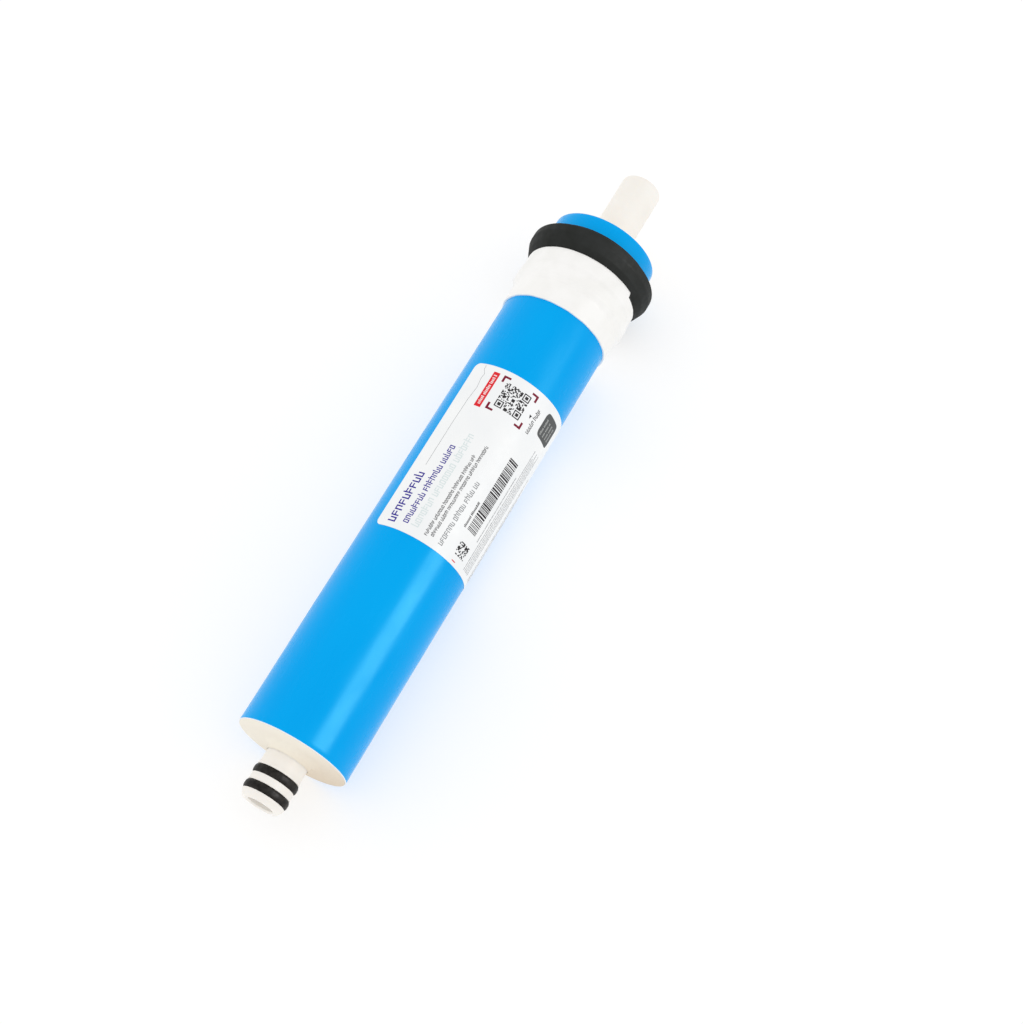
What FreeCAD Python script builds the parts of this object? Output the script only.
"""Spiral-wound reverse osmosis membrane element of the domestic 1.8 x 12 inch class, in millimetres.

Every piece is drawn about the X axis, with x = 0 on the roll's face at the spigot end and the plain stub
at +X.  The finished element is then laid on the ground plane z = 0 as it comes to rest on its side: on the
lip of the brine seal and on the rim of the roll, so its axis rises slightly towards the stub.
"""

import FreeCAD
import Part
import math
import os

# ---------------------------------------------------------------------------------------------------------
# Driving dimensions
# ---------------------------------------------------------------------------------------------------------

# permeate tube: one moulding, open at the spigot end and closed at the stub end
roll_length = 241.3
spigot_length = 22.0
stub_length = 34.7
tube_diameter = 17.0
bore_diameter = 10.4
end_wall = 3.5
neck_diameter = 16.5
land_width = 1.1
nose_diameter = 14.6
nose_length = 2.1
nose_edge_radius = 0.6
mouth_chamfer = 0.5
stub_root_diameter = 17.9
stub_root_length = 6.0
stub_edge_radius = 1.8

# cross-drilled perforations that let permeate into the tube
perforation_diameter = 2.2
perforation_pitch = 28.0
perforation_count = 8
perforation_clocking = 30.0

# O-rings and their grooves, measured from the tip of the spigot
oring_section = 2.6
oring_stand_out = 0.4
oring_floor_gap = 0.05
groove_width = 3.4
first_groove = 4.4
groove_spacing = 6.35

# sheets wound round the tube
carrier_thickness = 0.30
membrane_thickness = 0.15
spacer_thickness = 0.71
layer_gap = 0.03
glue_line_width = 20.0
glue_line_thickness = 0.22
spacer_tail_angle = 90.0
spacer_tail_gap = 0.10
winding_clocking = 188.0

# outer wrap and label
roll_diameter = 44.5
wrap_thickness = 0.30
label_thickness = 0.10
adhesive_gap = 0.02
label_start = 86.0
label_length = 77.0
label_top_angle = 40.5
label_span = 165.0
label_corner_radius = 2.5

# brine seal: a rubber sleeve round the wrap, with a lip that opens towards the stub end
seal_start = 207.0
seal_length = 26.6
seal_edge_taper = 2.2
bead_width = 4.4
bead_thickness = 1.40
sleeve_thickness = 1.05
collar_thickness = 1.95
lip_diameter = 54.2
lip_start = 221.9
lip_length = 9.6
lip_back_length = 2.4
lip_shoulder_length = 3.5
lip_shoulder_drop = 1.5
lip_thickness = 1.6
lip_groove_depth = 4.4
lip_root_radius = 0.5
lip_back_radius = 1.5
lip_shoulder_radius = 2.0
lip_edge_radius = 0.7
lip_groove_radius = 0.5
collar_edge_radius = 0.5

# white sealing tape over the sleeve's edge
tape_thickness = 0.85
tape_start = 197.4
tape_end = 221.7

# ---------------------------------------------------------------------------------------------------------
# Derived sizes
# ---------------------------------------------------------------------------------------------------------

tube_radius = tube_diameter / 2
bore_radius = bore_diameter / 2
roll_radius = roll_diameter / 2
wrap_inner_radius = roll_radius - wrap_thickness
lip_radius = lip_diameter / 2
tip = -spigot_length
stub_end = roll_length + stub_length
groove_centres = [tip + first_groove, tip + first_groove + groove_spacing]

# radial order of one turn, measured outwards from the winding's base spiral
carrier_span = (0.0, carrier_thickness)
glue_line_span = ((carrier_thickness - glue_line_thickness) / 2, (carrier_thickness + glue_line_thickness) / 2)
inner_membrane_span = (carrier_span[1] + layer_gap, carrier_span[1] + layer_gap + membrane_thickness)
spacer_span = (inner_membrane_span[1] + layer_gap, inner_membrane_span[1] + layer_gap + spacer_thickness)
outer_membrane_span = (spacer_span[1] + layer_gap, spacer_span[1] + layer_gap + membrane_thickness)
turn_pitch = outer_membrane_span[1] + layer_gap

# the carrier alone goes once round the tube before the leaf joins it
core_pitch = carrier_thickness + layer_gap
core_half_turns = 2
core_radius = tube_radius + layer_gap
leaf_radius = core_radius + core_pitch
leaf_turns = math.floor((wrap_inner_radius - leaf_radius) / turn_pitch) - 1
last_half_turn = core_half_turns + 2 * leaf_turns

ORIGIN = FreeCAD.Vector(0, 0, 0)
AXIS = FreeCAD.Vector(1, 0, 0)


# ---------------------------------------------------------------------------------------------------------
# Drawing helpers
# ---------------------------------------------------------------------------------------------------------

def profile_point(x, radius):
    """Point of a half section: station along the axis, distance from it."""
    return FreeCAD.Vector(x, 0, radius)


def rounded_outline(corners):
    """Closed wire through (x, radius, corner radius) corners, each non-zero corner as a tangent arc."""
    points = [profile_point(x, r) for x, r, _ in corners]
    count = len(points)
    entries, exits, arcs = [], [], []
    for i, (_, _, bend) in enumerate(corners):
        here, before, after = points[i], points[i - 1], points[(i + 1) % count]
        if bend == 0:
            entries.append(here)
            exits.append(here)
            arcs.append(None)
            continue
        inward, outward = (before - here).normalize(), (after - here).normalize()
        half = inward.getAngle(outward) / 2
        trim = bend / math.tan(half)
        bisector = (inward + outward).normalize()
        middle = here + bisector * (bend / math.sin(half) - bend)
        entries.append(here + inward * trim)
        exits.append(here + outward * trim)
        arcs.append(Part.Arc(entries[i], middle, exits[i]).toShape())
    edges = []
    for i in range(count):
        if arcs[i] is not None:
            edges.append(arcs[i])
        start, end = exits[i], entries[(i + 1) % count]
        if start.distanceToPoint(end) > 1e-6:
            edges.append(Part.LineSegment(start, end).toShape())
    return Part.Wire(Part.__sortEdges__(edges))


def turned(corners):
    """Solid of revolution about the element's axis."""
    return Part.Face(rounded_outline(corners)).revolve(ORIGIN, AXIS, 360)


def ring(inner_radius, outer_radius, start, end):
    """Plain tube between two stations."""
    return turned([(start, inner_radius, 0), (start, outer_radius, 0),
                   (end, outer_radius, 0), (end, inner_radius, 0)])


# ---------------------------------------------------------------------------------------------------------
# Permeate tube and its O-rings
# ---------------------------------------------------------------------------------------------------------

def tube_body():
    """Outside and blind bore of the tube, grooves included."""
    nose_end = tip + nose_length
    corners = [(tip, bore_radius + mouth_chamfer, 0), (tip, nose_diameter / 2, nose_edge_radius),
               (nose_end, tube_radius, 0)]
    groove_floor = tube_radius + oring_stand_out - oring_section - oring_floor_gap
    for centre in groove_centres:
        near, far = centre - groove_width / 2, centre + groove_width / 2
        corners += [(near, tube_radius, 0), (near, groove_floor, 0),
                    (far, groove_floor, 0), (far, tube_radius, 0)]
    land_end = groove_centres[-1] + groove_width / 2 + land_width
    corners += [(land_end, tube_radius, 0), (land_end, neck_diameter / 2, 0),
                (0, neck_diameter / 2, 0), (0, tube_radius, 0),
                (roll_length, tube_radius, 0), (roll_length, stub_root_diameter / 2, 0),
                (roll_length + stub_root_length, tube_radius, 0),
                (stub_end, tube_radius, stub_edge_radius), (stub_end, 0, 0),
                (stub_end - end_wall, 0, 0), (stub_end - end_wall, bore_radius, 0),
                (tip + mouth_chamfer, bore_radius, 0)]
    return turned(corners)


def perforation(index):
    """Drill through both walls of the tube, every other one turned a quarter round."""
    station = roll_length / 2 + (index - (perforation_count - 1) / 2) * perforation_pitch
    direction = math.radians(perforation_clocking + 90 * (index % 2))
    across = FreeCAD.Vector(0, math.cos(direction), math.sin(direction))
    start = FreeCAD.Vector(station, 0, 0) - across * tube_diameter
    return Part.makeCylinder(perforation_diameter / 2, 2 * tube_diameter, start, across)


def permeate_tube():
    return tube_body().cut([perforation(i) for i in range(perforation_count)])


def oring(centre):
    section_radius = oring_section / 2
    ring_radius = tube_radius + oring_stand_out - section_radius
    return Part.makeTorus(ring_radius, section_radius, FreeCAD.Vector(centre, 0, 0), AXIS)


# ---------------------------------------------------------------------------------------------------------
# Sheets wound round the tube
# ---------------------------------------------------------------------------------------------------------
# A winding is a chain of half circles in the YZ plane.  Even ones run over the top about the tube's own
# axis, odd ones run underneath about an axis half a pitch to +Y, so that each full turn gains one pitch
# and parallel sheets keep their thickness all the way round.  The extruded sheets are then clocked about
# the axis, so that the heavier side of the roll is the one that it lies on.

def half_turn(index):
    """(centre along Y, radius) of the base spiral on one half turn."""
    if index < core_half_turns:
        radius, pitch = core_radius, core_pitch
    else:
        radius, pitch = leaf_radius + (index - core_half_turns) // 2 * turn_pitch, turn_pitch
    return (0.0, radius) if index % 2 == 0 else (pitch / 2, radius + pitch / 2)


def winding_point(index, offset, angle):
    """Point on half turn index, offset outwards; angle goes from 0 to 180 along the half turn."""
    centre, radius = half_turn(index)
    turn = math.radians(angle if index % 2 == 0 else 180 + angle)
    return FreeCAD.Vector(0, centre + (radius + offset) * math.cos(turn), (radius + offset) * math.sin(turn))


def winding_arc(index, offset, start_angle, end_angle):
    middle = (start_angle + end_angle) / 2
    return Part.Arc(winding_point(index, offset, start_angle), winding_point(index, offset, middle),
                    winding_point(index, offset, end_angle)).toShape()


def spiral_arcs(offset, first, last, last_angle=180.0, first_angle=0.0):
    """Arcs of one sheet face from half turn first to half turn last."""
    return [winding_arc(i, offset, first_angle if i == first else 0.0, last_angle if i == last else 180.0)
            for i in range(first, last + 1)]


def wound_solid(edges):
    """Extrude a closed chain of edges along the whole roll and turn it to its clocking."""
    solid = Part.Face(Part.Wire(Part.__sortEdges__(edges))).extrude(AXIS * roll_length)
    return solid.rotate(ORIGIN, AXIS, -winding_clocking)


def sheet(span, first, last, last_angle=180.0, first_angle=0.0):
    """One wound sheet between two offsets from the base spiral."""
    ends = [Part.LineSegment(winding_point(i, span[0], angle), winding_point(i, span[1], angle)).toShape()
            for i, angle in ((first, first_angle), (last, last_angle))]
    inner = spiral_arcs(span[0], first, last, last_angle, first_angle)
    outer = spiral_arcs(span[1], first, last, last_angle, first_angle)
    return wound_solid(inner + outer + ends)


def glue_start_angle():
    """Angle on the last half turn where the carrier stops and the glue line takes its place."""
    centre, radius = half_turn(last_half_turn)
    return 180.0 - math.degrees(glue_line_width / (radius + carrier_thickness / 2))


def permeate_carrier():
    """Tricot cloth: once round the tube, then between the two backs of the leaf, up to the glue line."""
    return sheet(carrier_span, 0, last_half_turn, glue_start_angle() - math.degrees(layer_gap / roll_radius))


def tail_glue_line():
    """Adhesive bead that closes the outer end of the leaf's envelope."""
    return sheet(glue_line_span, last_half_turn, last_half_turn, 180.0, glue_start_angle())


def fold_arc(inner_offset, outer_offset):
    """Half circle joining two sheet faces just before the leaf's first half turn."""
    inner = winding_point(core_half_turns, inner_offset, 0)
    outer = winding_point(core_half_turns, outer_offset, 0)
    reach = (outer_offset - inner_offset) / 2
    return Part.Arc(inner, (inner + outer) / 2 - FreeCAD.Vector(0, 0, reach), outer).toShape()


def membrane_leaf():
    """One membrane sheet folded over the inner edge of the feed spacer, active sides facing it."""
    first, last = core_half_turns, last_half_turn
    edges = [fold_arc(inner_membrane_span[0], outer_membrane_span[1]),
             fold_arc(inner_membrane_span[1], outer_membrane_span[0])]
    for span in (inner_membrane_span, outer_membrane_span):
        edges += spiral_arcs(span[0], first, last) + spiral_arcs(span[1], first, last)
        edges.append(Part.LineSegment(winding_point(last, span[0], 180),
                                      winding_point(last, span[1], 180)).toShape())
    return wound_solid(edges)


def tail_arc(radius, centre):
    """Arc of the spacer's tail, from the end of the last half turn, about a point on the Y axis."""
    points = []
    for share in (0.0, 0.5, 1.0):
        turn = math.radians(180 + share * spacer_tail_angle)
        points.append(FreeCAD.Vector(0, centre + radius * math.cos(turn), radius * math.sin(turn)))
    return Part.Arc(*points).toShape(), points[-1]


def feed_spacer():
    """Net between the two active sides of the leaf, drawn as a sheet of its full thickness.

    It runs on past the leaf's outer end as a tail that settles onto the turn below.
    """
    first, last = core_half_turns, last_half_turn
    leaf_end = half_turn(last)[1] + spacer_span[0]
    turn_below_radius = half_turn(last + 1)[1] - layer_gap
    # a circle through the spacer's inner face at the leaf's end that clears the turn below by the tail gap
    tail_radius = turn_below_radius + spacer_tail_gap
    tail_centre = tail_radius - leaf_end
    inner_tail, inner_end = tail_arc(tail_radius, tail_centre)
    outer_tail, outer_end = tail_arc(tail_radius + spacer_thickness, tail_centre)
    start = Part.LineSegment(winding_point(first, spacer_span[0], 0), winding_point(first, spacer_span[1], 0))
    edges = spiral_arcs(spacer_span[0], first, last) + spiral_arcs(spacer_span[1], first, last)
    edges += [start.toShape(), inner_tail, outer_tail, Part.LineSegment(inner_end, outer_end).toShape()]
    return wound_solid(edges)


# ---------------------------------------------------------------------------------------------------------
# Outer wrap, label, brine seal and sealing tape
# ---------------------------------------------------------------------------------------------------------

def outer_wrap():
    return ring(wrap_inner_radius, roll_radius, 0, roll_length)


def label_corner_cut(station, angle, toward_middle_x, toward_middle_angle):
    """What is removed to round one corner of the label."""
    swing = math.degrees(label_corner_radius / roll_radius)
    size = label_corner_radius
    reach = roll_diameter
    block = Part.makeBox(2 * size, 2 * size, reach, FreeCAD.Vector(-size, -size, 0))
    quarter = Part.makeBox(2 * size, 2 * size, reach,
                           FreeCAD.Vector(-2 * size if toward_middle_x > 0 else 0,
                                          0 if toward_middle_angle > 0 else -2 * size, 0))
    tool = block.common(quarter).cut(Part.makeCylinder(size, reach))
    tool.translate(FreeCAD.Vector(station + toward_middle_x * size, 0, 0))
    tool.rotate(ORIGIN, AXIS, -(angle + toward_middle_angle * swing))
    return tool


def label():
    """Film label lying on the wrap, with rounded corners; angles run from +Z towards +Y."""
    bottom_angle = label_top_angle - label_span
    start = profile_point(label_start, roll_radius + adhesive_gap)
    face = Part.Face(Part.makePolygon([start, start + AXIS * label_length,
                                       start + FreeCAD.Vector(label_length, 0, label_thickness),
                                       start + FreeCAD.Vector(0, 0, label_thickness), start]))
    face.rotate(ORIGIN, AXIS, -label_top_angle)
    film = face.revolve(ORIGIN, AXIS, label_span)
    cuts = [label_corner_cut(label_start + side_x * label_length, angle, 1 - 2 * side_x, direction)
            for side_x in (0, 1) for angle, direction in ((label_top_angle, -1), (bottom_angle, 1))]
    return film.cut(cuts)


def sleeve_outline():
    """Outside of the seal's sleeve from its tapered edge to the lip: (x, radius) points."""
    bead_radius, sleeve_radius = roll_radius + bead_thickness, roll_radius + sleeve_thickness
    bead_start = seal_start + seal_edge_taper
    bead_end = bead_start + bead_width
    return [(seal_start, roll_radius), (bead_start, bead_radius), (bead_end, bead_radius),
            (bead_end + seal_edge_taper, sleeve_radius)]


def brine_seal():
    sleeve_radius, collar_radius = roll_radius + sleeve_thickness, roll_radius + collar_thickness
    lip_end = lip_start + lip_length
    shoulder = lip_start + lip_back_length
    lip_inside = lip_radius - lip_thickness
    groove_end = lip_end - lip_groove_depth
    seal_end = seal_start + seal_length
    corners = [(x, r, 0) for x, r in sleeve_outline()]
    corners += [(lip_start, sleeve_radius, lip_root_radius),
                (shoulder, lip_radius - lip_shoulder_drop, lip_back_radius),
                (shoulder + lip_shoulder_length, lip_radius, lip_shoulder_radius),
                (lip_end, lip_radius, lip_edge_radius), (lip_end, lip_inside, lip_edge_radius),
                (groove_end, lip_inside, lip_groove_radius), (groove_end, collar_radius, lip_groove_radius),
                (seal_end, collar_radius, collar_edge_radius), (seal_end, roll_radius, 0)]
    return turned(corners)


def seal_tape():
    """Several turns of white tape, lapping from the wrap over the sleeve of the seal."""
    inside = [(tape_start, roll_radius)] + sleeve_outline()
    inside.append((tape_end, inside[-1][1]))
    outside = [(x, r + tape_thickness) for x, r in inside]
    return turned([(x, r, 0) for x, r in inside + outside[::-1]])


# ---------------------------------------------------------------------------------------------------------
# Laying the element down
# ---------------------------------------------------------------------------------------------------------

def resting_place():
    """Placement that sets the roll's rim and the seal's lip on the ground, mid length over the origin."""
    contact = lip_start + lip_back_length + lip_shoulder_length
    rise = math.atan2(lip_radius - roll_radius, contact)
    middle = (stub_end + tip) / 2
    tilt = FreeCAD.Rotation(FreeCAD.Vector(0, 1, 0), -math.degrees(rise))
    return FreeCAD.Placement(FreeCAD.Vector(-middle, 0, roll_radius) * math.cos(rise), tilt)


PIECES = {
    "permeate_tube": permeate_tube,
    "outer_oring": lambda: oring(groove_centres[0]),
    "inner_oring": lambda: oring(groove_centres[1]),
    "permeate_carrier": permeate_carrier,
    "tail_glue_line": tail_glue_line,
    "membrane_leaf": membrane_leaf,
    "feed_spacer": feed_spacer,
    "outer_wrap": outer_wrap,
    "label": label,
    "brine_seal": brine_seal,
    "seal_tape": seal_tape,
}


def main():
    os.makedirs("parts", exist_ok=True)
    place = resting_place()
    for name, make in PIECES.items():
        solid = make()
        solid.Placement = place.multiply(solid.Placement)
        solid.exportStep(f"parts/{name}.step")


main()
